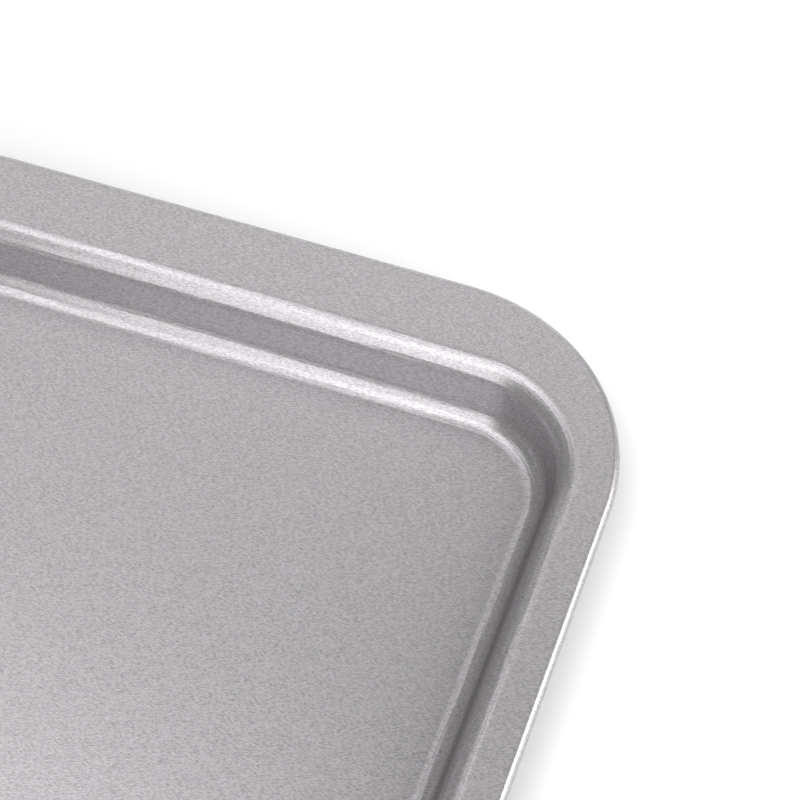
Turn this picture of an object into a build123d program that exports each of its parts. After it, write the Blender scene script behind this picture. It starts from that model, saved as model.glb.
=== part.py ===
from build123d import *

import math
import os

# A cookie sheet: a shallow baking tray pressed from one steel sheet.
# It has a flat floor, a low steep wall, and a flat rim that is wide at the two short ends, where it
# is held, and narrow along the two long sides. The edge of the sheet is rolled round a stiffening
# wire. A thin release coating covers the cooking side, over the rim and round the roll.
# X runs along the long side, Y along the short side and Z up.
# The origin is the middle of the underside, so the tray stands on Z = 0.
# All lengths are in millimetres, and all angles in degrees.

# Whole tray, over the rolled edge
overall_length = 438.0
overall_width = 292.0
outer_corner_radius = 65.0

# Layers of the sheet
steel_thickness = 0.8
coating_thickness = 0.04

# Depth from the flat of the rim to the cooking floor
pan_depth = 19.5

# Flat of the rim, from the outermost edge to where it starts to turn down
end_rim_width = 24.0
side_rim_width = 10.5

# Wall and its two bends, measured on the cooking side
wall_slope = 76.0
rim_bend_radius = 8.2
floor_bend_radius = 7.2
mouth_corner_radius = 35.0

# Rolled edge and the wire in it
wire_diameter = 2.6
wire_clearance = 0.1
wire_end_gap = 1.5
roll_turn = 290.0

# How far a cut runs past what it cuts
overrun = 5.0

# Places that follow from the sizes above
bend_share = math.tan(math.radians(wall_slope / 2))
sheet_thickness = steel_thickness + coating_thickness
rim_height = sheet_thickness + pan_depth
wall_run = pan_depth / math.tan(math.radians(wall_slope))
mouth_length = overall_length - 2 * (end_rim_width + rim_bend_radius * bend_share)
mouth_width = overall_width - 2 * (side_rim_width + rim_bend_radius * bend_share)
floor_length = mouth_length - 2 * wall_run
floor_width = mouth_width - 2 * wall_run
floor_corner_radius = mouth_corner_radius - wall_run
roll_radius = wire_diameter / 2 + wire_clearance + sheet_thickness
wire_height = rim_height - roll_radius
crest_length = overall_length - 2 * roll_radius
crest_width = overall_width - 2 * roll_radius
crest_corner_radius = outer_corner_radius - roll_radius


def space_above(depth, margin):
    """All the space over the surface that lies this deep in the sheet, to this margin past the crest."""
    spread = depth * bend_share
    with BuildPart() as space:
        with BuildSketch(Plane.XY.offset(sheet_thickness - depth)):
            RectangleRounded(
                floor_length + 2 * spread, floor_width + 2 * spread, floor_corner_radius + spread
            )
        extrude(amount=pan_depth, taper=wall_slope - 90)
        with BuildSketch(Plane.XY.offset(rim_height - depth)):
            RectangleRounded(
                crest_length + 2 * margin, crest_width + 2 * margin, crest_corner_radius + margin
            )
        extrude(amount=depth + margin + overrun)
        rim_face = space.faces().filter_by(Plane.XY).sort_by(Axis.Z)[1]
        fillet(rim_face.inner_wires()[0].edges(), rim_bend_radius - depth)
        fillet(space.edges().group_by(Axis.Z)[0], floor_bend_radius + depth)
    return space.part


def roll_section(outer_radius, inner_radius):
    """One layer of the rolled edge, cut across: it starts at the crest and turns out, down and back."""
    start = crest_path @ 0
    along = crest_path % 0
    inward = Vector(0, 0, 1).cross(along)
    with BuildSketch(Plane(origin=start, x_dir=inward, z_dir=along)) as section:
        with BuildLine():
            outside = CenterArc((0, 0), outer_radius, 90, roll_turn)
            inside = CenterArc((0, 0), inner_radius, 90, roll_turn)
            Line(outside @ 0, inside @ 0)
            Line(outside @ 1, inside @ 1)
        make_face()
    return section.sketch


# The line that the middle of the roll and of its wire follows
with BuildSketch(Plane.XY.offset(wire_height)) as crest_outline:
    RectangleRounded(crest_length, crest_width, crest_corner_radius)
crest_path = crest_outline.sketch.face().outer_wire()

# A layer is the space above its lower surface, less the space above its upper surface
space_above_underside = space_above(sheet_thickness, 0)
space_above_bond = space_above(coating_thickness, 0)
cut_above_bond = space_above(coating_thickness, overrun)
cut_above_finish = space_above(0, overrun)

os.makedirs("parts", exist_ok=True)

# Pan sheet: the pressed steel, with its edge rolled round the wire
with BuildPart() as pan_sheet:
    add(space_above_underside)
    add(cut_above_bond, mode=Mode.SUBTRACT)
    sweep(
        sections=roll_section(roll_radius - coating_thickness, roll_radius - sheet_thickness),
        path=crest_path,
    )
pan_sheet.part.label = "pan_sheet"
export_step(pan_sheet.part, "parts/pan_sheet.step")

# Release coating: the thin baked layer on the cooking side, as far as the lip of the roll
with BuildPart() as release_coating:
    add(space_above_bond)
    add(cut_above_finish, mode=Mode.SUBTRACT)
    sweep(sections=roll_section(roll_radius, roll_radius - coating_thickness), path=crest_path)
release_coating.part.label = "release_coating"
export_step(release_coating.part, "parts/release_coating.step")

# Rim wire: one round wire bent to the tray's outline, its ends butted in the middle of a long side
with BuildPart() as rim_wire:
    with BuildLine(Plane.XY.offset(wire_height)) as wire_line:
        FilletPolyline(
            (wire_end_gap / 2, crest_width / 2),
            (crest_length / 2, crest_width / 2),
            (crest_length / 2, -crest_width / 2),
            (-crest_length / 2, -crest_width / 2),
            (-crest_length / 2, crest_width / 2),
            (-wire_end_gap / 2, crest_width / 2),
            radius=crest_corner_radius,
        )
    wire_path = wire_line.wire()
    with BuildSketch(Plane(origin=wire_path @ 0, z_dir=wire_path % 0)):
        Circle(wire_diameter / 2)
    sweep(path=wire_path)
rim_wire.part.label = "rim_wire"
export_step(rim_wire.part, "parts/rim_wire.step")
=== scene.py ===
import math

import bpy
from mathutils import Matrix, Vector


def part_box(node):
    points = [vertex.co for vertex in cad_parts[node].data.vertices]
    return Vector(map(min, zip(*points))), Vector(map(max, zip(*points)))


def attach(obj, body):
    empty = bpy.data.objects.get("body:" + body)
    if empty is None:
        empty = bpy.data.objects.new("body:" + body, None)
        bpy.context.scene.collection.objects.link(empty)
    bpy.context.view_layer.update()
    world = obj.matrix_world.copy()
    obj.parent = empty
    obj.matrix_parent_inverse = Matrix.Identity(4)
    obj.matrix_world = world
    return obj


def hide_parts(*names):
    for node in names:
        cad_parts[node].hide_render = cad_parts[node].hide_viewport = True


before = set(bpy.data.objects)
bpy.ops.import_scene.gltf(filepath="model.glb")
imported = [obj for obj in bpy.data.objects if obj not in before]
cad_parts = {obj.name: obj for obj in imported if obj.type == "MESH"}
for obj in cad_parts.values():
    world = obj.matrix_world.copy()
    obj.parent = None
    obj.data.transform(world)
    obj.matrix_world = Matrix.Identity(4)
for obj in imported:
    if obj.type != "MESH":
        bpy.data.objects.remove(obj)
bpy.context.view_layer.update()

# A cookie sheet in a release-coated steel, on a pale floor in soft studio light.
# All lengths are in metres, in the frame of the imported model. MM turns millimetres into metres.
MM = 0.001

# Sizes of the pressed sheet that its boxes don't give, measured on the cooking side
end_rim_width = 24.0 * MM
side_rim_width = 10.5 * MM
outer_corner_radius = 65.0 * MM
mouth_corner_radius = 35.0 * MM
rim_bend_radius = 8.2 * MM
floor_bend_radius = 7.2 * MM
wall_slope = math.radians(76.0)
roll_turn = math.radians(290.0)

# How finely the mesh follows the curves
corner_steps = 40
side_steps = 10
roll_steps = 40
bend_steps = 20
quarter_turn = math.radians(90.0)

# Extra rings this far in from the bends keep the shading of the flats even. One more is halfway
# across the rim.
flat_guard = 0.3 * MM
middle_share = 0.5

# Edges sharper than this, such as those of the lip, aren't smoothed
sharp_angle = math.radians(40.0)

# Grain of the coated sheet: short wavy dashes along Y. Each finer layer of its noise counts a share
# of the one before.
grain_width = 0.19 * MM
grain_length = 1.15 * MM
grain_height = 0.012 * MM
grain_detail = 1.5
grain_detail_share = 0.55
grain_wander = 0.35 * MM
wander_length = 5.0 * MM
wander_detail = 1.0

# Levels of the noise that become the hollows and the tops of the grain
hollow_level = 0.36
top_level = 0.64

# Turn of the noise behind the grain, in radians, so that its lattice doesn't line up with the tray
noise_turn = (0.5, 0.3, 0.6)

# Middle value of a noise
noise_middle = (0.5, 0.5, 0.5)

# Marks of the press: long shallow waves that run along the bends and the wall
mark_width = 1.2 * MM
mark_length = 24.0 * MM
mark_height = 0.14 * MM
mark_detail = 1.0

# The marks fade in over this much of the turn of a bend
mark_fade = math.radians(12.0)

# Release coating: colours of the hollows and the tops of its grain, and its finish
coating_hollow_colour = (0.36, 0.348, 0.36, 1)
coating_top_colour = (0.6, 0.58, 0.6, 1)
coating_metal_share = 0.65
coating_roughness = 0.24
coating_edge_tint = (0.3, 0.3, 0.3, 1)

# Back coat of the steel, the same way
back_hollow_colour = (0.24, 0.24, 0.25, 1)
back_top_colour = (0.32, 0.32, 0.33, 1)
back_metal_share = 0.6
back_roughness = 0.42

# Wire: its drawing marks, as noise cells per metre, and its finish
wire_mark_density = 900.0
wire_mark_detail = 2.0
wire_dark_colour = (0.42, 0.42, 0.43, 1)
wire_light_colour = (0.56, 0.56, 0.57, 1)
wire_roughness = 0.35

# Floor, and how far from the middle of the tray its white backdrop starts and is full
floor_half = 8.0
floor_drop = 0.1 * MM
floor_colour = (0.92, 0.92, 0.92, 1)
floor_roughness = 0.9
backdrop_start = 0.6
backdrop_end = 1.5
white = (1, 1, 1, 1)

# Camera: where it looks on the plane of the rim, from the corner at -X, +Y, and from which side
camera_elevation = math.radians(55.13)
camera_turn = math.radians(19.44)
camera_aim_right = -83.72 * MM
camera_aim_forward = -22.84 * MM
camera_distance = 757.6 * MM

# Lens and sensor width, in millimetres, as Blender takes them
camera_lens = 112.5
camera_sensor = 36.0

# Lamps, as name, turn and rise in degrees, distance, width and height in metres, and radiance
lamps = (
    ("overhead", 205, 76, 1.1, 0.9, 0.6, 1.5),
    ("front", 237, 42, 1.1, 0.6, 1.3, 1.8),
    ("left_high", 160, 58, 1.1, 0.6, 0.5, 1.0),
    ("right", 340, 32, 1.2, 1.8, 1.0, 3.5),
    ("far", 90, 48, 1.4, 1.2, 0.5, 0.84),
    ("far_low", 90, 12, 1.4, 1.6, 0.5, 1.6),
)

# Brightness of the even sky
sky_level = 0.22

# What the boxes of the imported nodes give
sheet_low, sheet_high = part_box("pan_sheet")
coat_low, coat_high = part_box("release_coating")
wire_low, wire_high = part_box("rim_wire")
half_length = (coat_high.x - coat_low.x) / 2
half_width = (coat_high.y - coat_low.y) / 2
rim_height = coat_high.z
coating_thickness = coat_high.z - sheet_high.z
sheet_thickness = coat_low.z + coating_thickness
wire_height = (wire_low.z + wire_high.z) / 2
roll_radius = rim_height - wire_height

# Places that follow from the sizes above
setback_share = math.tan(wall_slope / 2)
pan_depth = rim_height - sheet_thickness
wall_run = pan_depth / math.tan(wall_slope)
mouth_half_length = half_length - end_rim_width - rim_bend_radius * setback_share
mouth_half_width = half_width - side_rim_width - rim_bend_radius * setback_share


def outline(half_x, half_y, radius):
    """Points round a rounded rectangle, anticlockwise from +X, each with its outward direction."""
    points = []
    for corner, (sign_x, sign_y) in enumerate(((1, 1), (-1, 1), (-1, -1), (1, -1))):
        for step in range(corner_steps + 1):
            angle = quarter_turn * (corner + step / corner_steps)
            out = Vector((math.cos(angle), math.sin(angle)))
            centre = Vector((sign_x * (half_x - radius), sign_y * (half_y - radius)))
            points.append((centre + out * radius, out))
    ring = []
    for index, (point, out) in enumerate(points):
        ring.append((point, out))
        if index % (corner_steps + 1) == corner_steps:
            following = points[(index + 1) % len(points)][0]
            for step in range(1, side_steps):
                ring.append((point.lerp(following, step / side_steps), out))
    return ring


def roll_outline(outward):
    """The tray's outline, this far outside the crest of the roll."""
    inset = roll_radius - outward
    return outline(half_length - inset, half_width - inset, outer_corner_radius - inset)


def mouth_outline(outward):
    """The outline of the mouth, this far outside the line where wall and rim would meet sharply."""
    return outline(
        mouth_half_length + outward, mouth_half_width + outward, mouth_corner_radius + outward
    )


def between(ring_a, ring_b, share):
    """The outline that lies this share of the way from one outline to another."""
    return [(a[0].lerp(b[0], share), a[1]) for a, b in zip(ring_a, ring_b)]


def used_up(radius, angle):
    """How much longer than its plan a bend of this radius is, where it has turned this far."""
    return radius * (angle - math.sin(angle))


def bend_mark_share(angle):
    """The share of the marks of the press where a bend has turned this far."""
    return min(1.0, angle / mark_fade)


def stations(depth):
    """The surface this deep in the sheet, as outlines from the lip of the roll in to the floor.

    Each comes with its height, with its stretch, the length of sheet that its bends have used up, and
    with its share of the marks of the press.
    """
    rim_centre = rim_bend_radius * setback_share
    floor_centre = -wall_run - floor_bend_radius * setback_share
    bends_height = (rim_bend_radius + floor_bend_radius) * (1 - math.cos(wall_slope))
    wall_length = (pan_depth - bends_height) / math.sin(wall_slope)
    wall_stretch = used_up(floor_bend_radius, wall_slope) + wall_length * (1 - math.cos(wall_slope))
    rim_stretch = wall_stretch + used_up(rim_bend_radius, wall_slope)
    found = []
    for step in range(roll_steps + 1):
        angle = roll_turn * (1 - step / roll_steps)
        radius = roll_radius - depth
        ring = roll_outline(radius * math.sin(angle))
        height = wire_height + radius * math.cos(angle)
        found.append((ring, height, rim_stretch + used_up(roll_radius, angle), 0.0))
    crest = roll_outline(0)
    brink = mouth_outline(rim_centre)
    guard_share = flat_guard / side_rim_width
    for share in (guard_share, middle_share, 1 - guard_share):
        found.append((between(crest, brink, share), rim_height - depth, rim_stretch, 0.0))
    for step in range(bend_steps + 1):
        angle = wall_slope * step / bend_steps
        radius = rim_bend_radius - depth
        ring = mouth_outline(rim_centre - radius * math.sin(angle))
        height = rim_height - rim_bend_radius + radius * math.cos(angle)
        stretch = rim_stretch - used_up(rim_bend_radius, angle)
        found.append((ring, height, stretch, bend_mark_share(angle)))
    wall_top = found[-1]
    floor_bend = []
    for step in range(bend_steps + 1):
        angle = wall_slope * (1 - step / bend_steps)
        radius = floor_bend_radius + depth
        ring = mouth_outline(floor_centre + radius * math.sin(angle))
        height = sheet_thickness + floor_bend_radius - radius * math.cos(angle)
        floor_bend.append((ring, height, used_up(floor_bend_radius, angle), bend_mark_share(angle)))
    wall_foot = floor_bend[0]
    guard_share = flat_guard / wall_length
    for share in (guard_share, 1 - guard_share):
        height = wall_top[1] + (wall_foot[1] - wall_top[1]) * share
        stretch = wall_top[2] + (wall_foot[2] - wall_top[2]) * share
        found.append((between(wall_top[0], wall_foot[0], share), height, stretch, 1.0))
    found.extend(floor_bend)
    found.append((mouth_outline(floor_centre - flat_guard), found[-1][1], 0.0, 0.0))
    return found


def bridge(first, second, count):
    """The faces between two rings of this many points, from where each ring starts."""
    faces = []
    for step in range(count):
        following = (step + 1) % count
        faces.append((first + step, first + following, second + following, second + step))
    return faces


def layer_mesh(name, top_depth, bottom_depth):
    """One layer of the sheet as a closed mesh.

    Each point has its place in the flat blank, its place along the section and its share of the marks.
    """
    vertices = []
    blank_places = []
    section_places = []
    mark_shares = []
    starts = []
    for depth in (top_depth, bottom_depth):
        crossed = 0.0
        last_spot = None
        for ring, height, stretch, mark_share in stations(depth):
            spot = Vector((ring[0][0].x, height))
            if last_spot:
                crossed += (spot - last_spot).length
            last_spot = spot
            starts.append(len(vertices))
            for point, out in ring:
                vertices.append((point.x, point.y, height))
                flat = point + out * stretch
                blank_places.extend((flat.x, flat.y, 0.0))
                section_places.extend((flat.x, flat.y, crossed))
                mark_shares.append(mark_share)
    count = starts[1]
    half = len(starts) // 2
    top = starts[:half]
    bottom = starts[half:]
    faces = []
    for outer, inner in zip(top, top[1:]):
        faces.extend(bridge(outer, inner, count))
    for outer, inner in zip(bottom, bottom[1:]):
        faces.extend(bridge(inner, outer, count))
    faces.extend(bridge(bottom[0], top[0], count))
    faces.append(tuple(range(top[-1], top[-1] + count)))
    faces.append(tuple(reversed(range(bottom[-1], bottom[-1] + count))))
    mesh = bpy.data.meshes.new(name)
    mesh.from_pydata(vertices, [], faces)
    mesh.shade_smooth()
    mesh.set_sharp_from_angle(angle=sharp_angle)
    for attribute, kind, field, values in (
        ("blank_place", "FLOAT_VECTOR", "vector", blank_places),
        ("section_place", "FLOAT_VECTOR", "vector", section_places),
        ("mark_share", "FLOAT", "value", mark_shares),
    ):
        mesh.attributes.new(attribute, kind, "POINT").data.foreach_set(field, values)
    piece = bpy.data.objects.new(name, mesh)
    bpy.context.scene.collection.objects.link(piece)
    return piece


def new_material(name):
    """An empty node material with its Principled shader and a helper that adds nodes to it."""
    material = bpy.data.materials.new(name)
    material.use_nodes = True
    tree = material.node_tree
    shader = tree.nodes["Principled BSDF"]

    def node(kind, inputs=None, **settings):
        """Adds a node, sets its own settings, and fills inputs with numbers or other nodes' outputs."""
        made = tree.nodes.new(kind)
        for key, value in settings.items():
            setattr(made, key, value)
        for key, value in (inputs or {}).items():
            if isinstance(value, bpy.types.NodeSocket):
                tree.links.new(value, made.inputs[key])
            else:
                made.inputs[key].default_value = value
        return made

    return material, shader, node, tree


def sheet_grain(node):
    """The height of the grain, from 0 to 1, as a node output: dashes that wander a little."""
    place = node("ShaderNodeAttribute", attribute_name="blank_place").outputs["Vector"]
    wander = node(
        "ShaderNodeTexNoise",
        {"Vector": place, "Scale": 1 / wander_length, "Detail": wander_detail},
    )
    centred = node(
        "ShaderNodeVectorMath",
        {0: wander.outputs["Color"], 1: noise_middle},
        operation="SUBTRACT",
    )
    shift = node(
        "ShaderNodeVectorMath",
        {0: centred.outputs[0], "Scale": 2 * grain_wander},
        operation="SCALE",
    )
    moved = node("ShaderNodeVectorMath", {0: place, 1: shift.outputs[0]}, operation="ADD")
    scaled = node("ShaderNodeMapping", {
        "Vector": moved.outputs[0],
        "Scale": (1 / grain_width, 1 / grain_length, 1),
        "Rotation": noise_turn,
    })
    dashes = node("ShaderNodeTexNoise", {
        "Vector": scaled.outputs[0],
        "Scale": 1.0,
        "Detail": grain_detail,
        "Roughness": grain_detail_share,
    })
    levels = node("ShaderNodeMapRange", {0: dashes.outputs["Fac"], 1: hollow_level, 2: top_level})
    return levels.outputs["Result"]


def sheet_relief(node, grain):
    """The height in metres of the grain and of the marks of the press, as a node output."""
    place = node("ShaderNodeAttribute", attribute_name="section_place").outputs["Vector"]
    mark_share = node("ShaderNodeAttribute", attribute_name="mark_share").outputs["Fac"]
    scaled = node(
        "ShaderNodeVectorMath",
        {0: place, 1: (1 / mark_length, 1 / mark_length, 1 / mark_width)},
        operation="MULTIPLY",
    )
    marks = node(
        "ShaderNodeTexNoise",
        {"Vector": scaled.outputs[0], "Scale": 1.0, "Detail": mark_detail},
    )
    mark_depth = node("ShaderNodeMath", {0: mark_share, 1: mark_height}, operation="MULTIPLY")
    mark_relief = node(
        "ShaderNodeMath",
        {0: marks.outputs["Fac"], 1: mark_depth.outputs[0]},
        operation="MULTIPLY",
    )
    relief = node(
        "ShaderNodeMath",
        {0: grain, 1: grain_height, 2: mark_relief.outputs[0]},
        operation="MULTIPLY_ADD",
    )
    return relief.outputs[0]


def sheet_material(name, hollow_colour, top_colour, metal_share, roughness):
    """A satin film over the pressed sheet: darker in the hollows of the grain than on its tops."""
    material, shader, node, tree = new_material(name)
    grain = sheet_grain(node)
    bump = node(
        "ShaderNodeBump",
        {"Height": sheet_relief(node, grain), "Strength": 1.0, "Distance": 1.0},
    )
    tree.links.new(bump.outputs["Normal"], shader.inputs["Normal"])
    tint = node("ShaderNodeMix", {0: grain, 6: hollow_colour, 7: top_colour}, data_type="RGBA")
    tree.links.new(tint.outputs[2], shader.inputs["Base Color"])
    shader.inputs["Metallic"].default_value = metal_share
    shader.inputs["Roughness"].default_value = roughness
    return material, shader


def coating_material():
    """Silver-grey release coating, with metallic flake in it."""
    material, shader = sheet_material(
        "coating", coating_hollow_colour, coating_top_colour, coating_metal_share, coating_roughness
    )
    shader.inputs["Specular Tint"].default_value = coating_edge_tint
    return material


def back_coat_material():
    """Darker and duller coat on the underside of the steel, over the same grain."""
    material, shader = sheet_material(
        "back_coat", back_hollow_colour, back_top_colour, back_metal_share, back_roughness
    )
    return material


def wire_material():
    """Plain drawn steel, with faint drawing marks."""
    material, shader, node, tree = new_material("wire")
    place = node("ShaderNodeTexCoord").outputs["Object"]
    marks = node(
        "ShaderNodeTexNoise",
        {"Vector": place, "Scale": wire_mark_density, "Detail": wire_mark_detail},
    )
    tint = node(
        "ShaderNodeMix",
        {0: marks.outputs["Fac"], 6: wire_dark_colour, 7: wire_light_colour},
        data_type="RGBA",
    )
    tree.links.new(tint.outputs[2], shader.inputs["Base Color"])
    shader.inputs["Metallic"].default_value = 1.0
    shader.inputs["Roughness"].default_value = wire_roughness
    return material


def floor_material():
    """Pale and matt. Away from the tray it turns into a white backdrop that lights nothing else."""
    material, shader, node, tree = new_material("floor")
    shader.inputs["Base Color"].default_value = floor_colour
    shader.inputs["Roughness"].default_value = floor_roughness
    shader.inputs["Specular IOR Level"].default_value = 0.0
    shader.inputs["Emission Color"].default_value = white
    path = node("ShaderNodeLightPath").outputs
    seen = node(
        "ShaderNodeMath", {0: path["Is Camera Ray"], 1: path["Is Glossy Ray"]}, operation="MAXIMUM"
    )
    seen = node(
        "ShaderNodeMath", {0: seen.outputs[0], 1: path["Is Transmission Ray"]}, operation="MAXIMUM"
    )
    place = node("ShaderNodeTexCoord").outputs["Object"]
    reach = node("ShaderNodeVectorMath", {0: place}, operation="LENGTH")
    fade = node(
        "ShaderNodeMapRange",
        {0: reach.outputs["Value"], 1: backdrop_start, 2: backdrop_end},
        interpolation_type="SMOOTHSTEP",
    )
    glow = node(
        "ShaderNodeMath", {0: seen.outputs[0], 1: fade.outputs["Result"]}, operation="MULTIPLY"
    )
    tree.links.new(glow.outputs[0], shader.inputs["Emission Strength"])
    return material


# The tray
coating = layer_mesh("release_coating_piece", 0, coating_thickness)
coating.data.materials.append(coating_material())
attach(coating, "root")
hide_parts("release_coating")

steel = layer_mesh("pan_sheet_piece", coating_thickness, sheet_thickness)
steel.data.materials.append(back_coat_material())
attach(steel, "root")
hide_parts("pan_sheet")

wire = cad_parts["rim_wire"]
wire.data.materials.clear()
wire.data.materials.append(wire_material())

# Floor and backdrop
floor_corners = [
    (-floor_half, -floor_half, -floor_drop),
    (floor_half, -floor_half, -floor_drop),
    (floor_half, floor_half, -floor_drop),
    (-floor_half, floor_half, -floor_drop),
]
floor_mesh = bpy.data.meshes.new("floor")
floor_mesh.from_pydata(floor_corners, [], [(0, 1, 2, 3)])
floor_mesh.materials.append(floor_material())
floor = bpy.data.objects.new("floor", floor_mesh)
bpy.context.scene.collection.objects.link(floor)


def aim(thing, place, target):
    """Puts a lamp or a camera at a place and turns it to look at a target."""
    thing.location = place
    thing.rotation_mode = "QUATERNION"
    thing.rotation_quaternion = (target - place).to_track_quat("-Z", "Y")


def view_place(right, forward, height):
    """A point this far right of and forward of the corner at -X, +Y, turned with the camera.

    Before the turn, the camera's right is +Y and its forward is -X.
    """
    along_x = -math.sin(camera_turn) * right - math.cos(camera_turn) * forward
    along_y = math.cos(camera_turn) * right - math.sin(camera_turn) * forward
    return Vector((-half_length + along_x, half_width + along_y, height))


# Camera
aim_point = view_place(camera_aim_right, camera_aim_forward, rim_height)
camera_place = view_place(
    camera_aim_right,
    camera_aim_forward - camera_distance * math.cos(camera_elevation),
    rim_height + camera_distance * math.sin(camera_elevation),
)
camera_data = bpy.data.cameras.new("camera")
camera_data.lens = camera_lens
camera_data.sensor_width = camera_sensor
camera = bpy.data.objects.new("camera", camera_data)
bpy.context.scene.collection.objects.link(camera)
aim(camera, camera_place, aim_point)
bpy.context.scene.camera = camera


def softbox(name, turn, rise, distance, width, height, radiance):
    """A soft rectangular lamp that looks at the aim point.

    It stands at this turn, anticlockwise from the camera's right, and at this rise over the floor.
    """
    turn = math.radians(turn)
    rise = math.radians(rise)
    out = distance * math.cos(rise)
    data = bpy.data.lights.new(name, "AREA")
    data.shape = "RECTANGLE"
    data.size = width
    data.size_y = height
    data.energy = radiance * math.pi * width * height
    lamp = bpy.data.objects.new(name, data)
    bpy.context.scene.collection.objects.link(lamp)
    place = view_place(
        camera_aim_right + out * math.cos(turn),
        camera_aim_forward + out * math.sin(turn),
        rim_height + distance * math.sin(rise),
    )
    aim(lamp, place, aim_point)


for lamp_values in lamps:
    softbox(*lamp_values)

# Surroundings: an even grey sky
world = bpy.data.worlds.new("studio")
bpy.context.scene.world = world
world.use_nodes = True
sky = world.node_tree.nodes["Background"]
sky.inputs["Color"].default_value = (sky_level, sky_level, sky_level, 1)

bpy.context.scene.view_settings.view_transform = "Standard"
